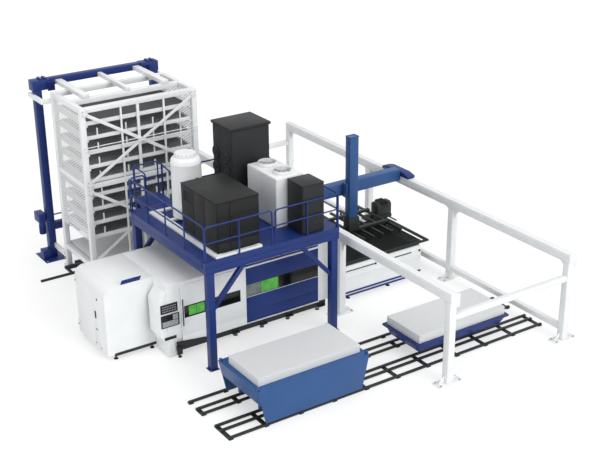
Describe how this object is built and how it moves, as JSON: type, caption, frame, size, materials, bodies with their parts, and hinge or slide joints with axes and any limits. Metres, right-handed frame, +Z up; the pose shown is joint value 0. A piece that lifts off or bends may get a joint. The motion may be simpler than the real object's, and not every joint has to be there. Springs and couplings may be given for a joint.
{
  "type": "laser cutting machine",
  "caption": "Automated laser cutting cell: enclosed cutter with exchange table, storage tower, service platform with units, loading gantry and sheet carts on a floor track.",
  "frame": {"origin": "middle of the footprint, at floor level", "axes": "+X along the cutting machine from its electrical cabinet to the exchange table, +Y away from the operator towards the tower, +Z up"},
  "size_m": [10.8122, 13.32, 5.58],
  "materials": {
    "white_paint": "satin",
    "blue_paint": "satin",
    "dark_paint": "textured",
    "black_paint": "satin",
    "steel": "brushed",
    "rubber": "matte",
    "tinted_glass": "clear",
    "console_plastic": "matte",
    "sheet_metal": "mill"
  },
  "bodies": {
    "cell": {"gantry_posts": "white_paint", "gantry_rails": "white_paint", "gantry_ties": "white_paint", "machine_base": "black_paint", "levelling_feet": "black_paint", "cabin_walls": "white_paint", "front_panels": "white_paint", "blue_panels": "blue_paint", "fixed_window": "tinted_glass", "console_housing": "white_paint", "console_panels": "console_plastic", "machine_bed": "dark_paint", "cabinet_shell": "white_paint", "cabinet_pins": "steel", "nameplate": "blue_paint", "table_frame": "white_paint", "table_trim": "blue_paint", "shuttle_drive": "black_paint", "platform_frame": "blue_paint", "platform_deck": "blue_paint", "platform_railing": "blue_paint", "platform_stair": "blue_paint", "chiller": "dark_paint", "unit_skid": "white_paint", "air_tank": "white_paint", "filter_unit": "dark_paint", "cooler": "white_paint", "small_cabinet": "dark_paint", "tower_frame": "white_paint", "tower_mesh": "white_paint", "cassettes": "white_paint", "cassette_decks": "dark_paint", "lift_frame": "blue_paint", "floor_track": "black_paint"},
    "bridge": {"bridge_beam": "blue_paint", "end_carriages": "blue_paint"},
    "mast": {"lift_mast": "blue_paint", "suction_frame": "black_paint", "suction_cups": "rubber"},
    "pallet": {"pallet_frame": "black_paint", "pallet_slats": "black_paint"},
    "door": {"front_door": "white_paint", "door_window": "tinted_glass", "door_handle": "console_plastic"},
    "cut_bridge": {"cutting_bridge": "white_paint"},
    "head_cross": {"head_carriage": "blue_paint"},
    "head": {"cutting_head": "dark_paint"},
    "ecab_door": {"cabinet_door": "white_paint"},
    "fan_1": {"fan_a": "dark_paint"},
    "fan_2": {"fan_b": "dark_paint"},
    "lift": {"lift_beam": "blue_paint"},
    "shaft": {"lift_shaft": "steel"},
    "tall_cart": {"cart_a": "blue_paint", "stack_a": "sheet_metal"},
    "tall_axle_1": {"cart_a_wheels_1": "black_paint"},
    "tall_axle_2": {"cart_a_wheels_2": "black_paint"},
    "low_cart": {"cart_b": "blue_paint", "stack_b": "sheet_metal"},
    "low_axle_1": {"cart_b_wheels_1": "black_paint"},
    "low_axle_2": {"cart_b_wheels_2": "black_paint"}
  },
  "joints": [
    {"name": "bridge_travel", "type": "slide", "parent": "cell", "child": "bridge", "axis": [0, 1, 0], "range_m": [-5.2, 4.4]},
    {"name": "mast_lift", "type": "slide", "parent": "bridge", "child": "mast", "axis": [0, 0, 1], "range_m": [0, 0.6]},
    {"name": "pallet_shuttle", "type": "slide", "parent": "cell", "child": "pallet", "axis": [1, 0, 0], "range_m": [-3.85, 0]},
    {"name": "door_slide", "type": "slide", "parent": "cell", "child": "door", "axis": [1, 0, 0], "range_m": [0, 1.9]},
    {"name": "cut_bridge_travel", "type": "slide", "parent": "cell", "child": "cut_bridge", "axis": [1, 0, 0], "range_m": [-2.1, 1.9]},
    {"name": "head_traverse", "type": "slide", "parent": "cut_bridge", "child": "head_cross", "axis": [0, 1, 0], "range_m": [-0.85, 0.85]},
    {"name": "head_lift", "type": "slide", "parent": "head_cross", "child": "head", "axis": [0, 0, 1], "range_m": [-0.02, 0.1]},
    {"name": "ecab_door_hinge", "type": "hinge", "parent": "cell", "child": "ecab_door", "pos_m": [-5.38915, 0.89, 1], "axis": [0, 0, 1], "range_deg": [-110, 0]},
    {"name": "fan_1_spin", "type": "hinge", "parent": "cell", "child": "fan_1", "pos_m": [-0.49885, -1.59, 4.35], "axis": [0, 0, 1], "continuous": true},
    {"name": "fan_2_spin", "type": "hinge", "parent": "cell", "child": "fan_2", "pos_m": [-0.49885, -0.87, 4.35], "axis": [0, 0, 1], "continuous": true},
    {"name": "lift_travel", "type": "slide", "parent": "cell", "child": "lift", "axis": [0, 0, 1], "range_m": [0, 3.85]},
    {"name": "lift_shaft_turn", "type": "hinge", "parent": "cell", "child": "shaft", "pos_m": [-1.90885, 6.3, 1.26], "axis": [1, 0, 0], "range_deg": [0, 2210]},
    {"name": "tall_cart_roll", "type": "slide", "parent": "cell", "child": "tall_cart", "axis": [1, 0, 0], "range_m": [-0.7, 0.8]},
    {"name": "tall_axle_1_turn", "type": "hinge", "parent": "tall_cart", "child": "tall_axle_1", "pos_m": [-3.18885, -4.7, 0.1403], "axis": [0, 1, 0], "range_deg": [-600, 680]},
    {"name": "tall_axle_2_turn", "type": "hinge", "parent": "tall_cart", "child": "tall_axle_2", "pos_m": [-1.38885, -4.7, 0.1403], "axis": [0, 1, 0], "range_deg": [-600, 680]},
    {"name": "low_cart_roll", "type": "slide", "parent": "cell", "child": "low_cart", "axis": [1, 0, 0], "range_m": [-0.8, 0.9]},
    {"name": "low_axle_1_turn", "type": "hinge", "parent": "low_cart", "child": "low_axle_1", "pos_m": [1.67115, -4.7, 0.1403], "axis": [0, 1, 0], "range_deg": [-680, 760]},
    {"name": "low_axle_2_turn", "type": "hinge", "parent": "low_cart", "child": "low_axle_2", "pos_m": [3.44115, -4.7, 0.1403], "axis": [0, 1, 0], "range_deg": [-680, 760]}
  ],
  "couplings": [
    {"joint": "lift_shaft_turn", "follows": "lift_travel", "rad_per_m": 10},
    {"joint": "tall_axle_1_turn", "follows": "tall_cart_roll", "rad_per_m": 14.286},
    {"joint": "tall_axle_2_turn", "follows": "tall_cart_roll", "rad_per_m": 14.286},
    {"joint": "low_axle_1_turn", "follows": "low_cart_roll", "rad_per_m": 14.286},
    {"joint": "low_axle_2_turn", "follows": "low_cart_roll", "rad_per_m": 14.286}
  ]
}
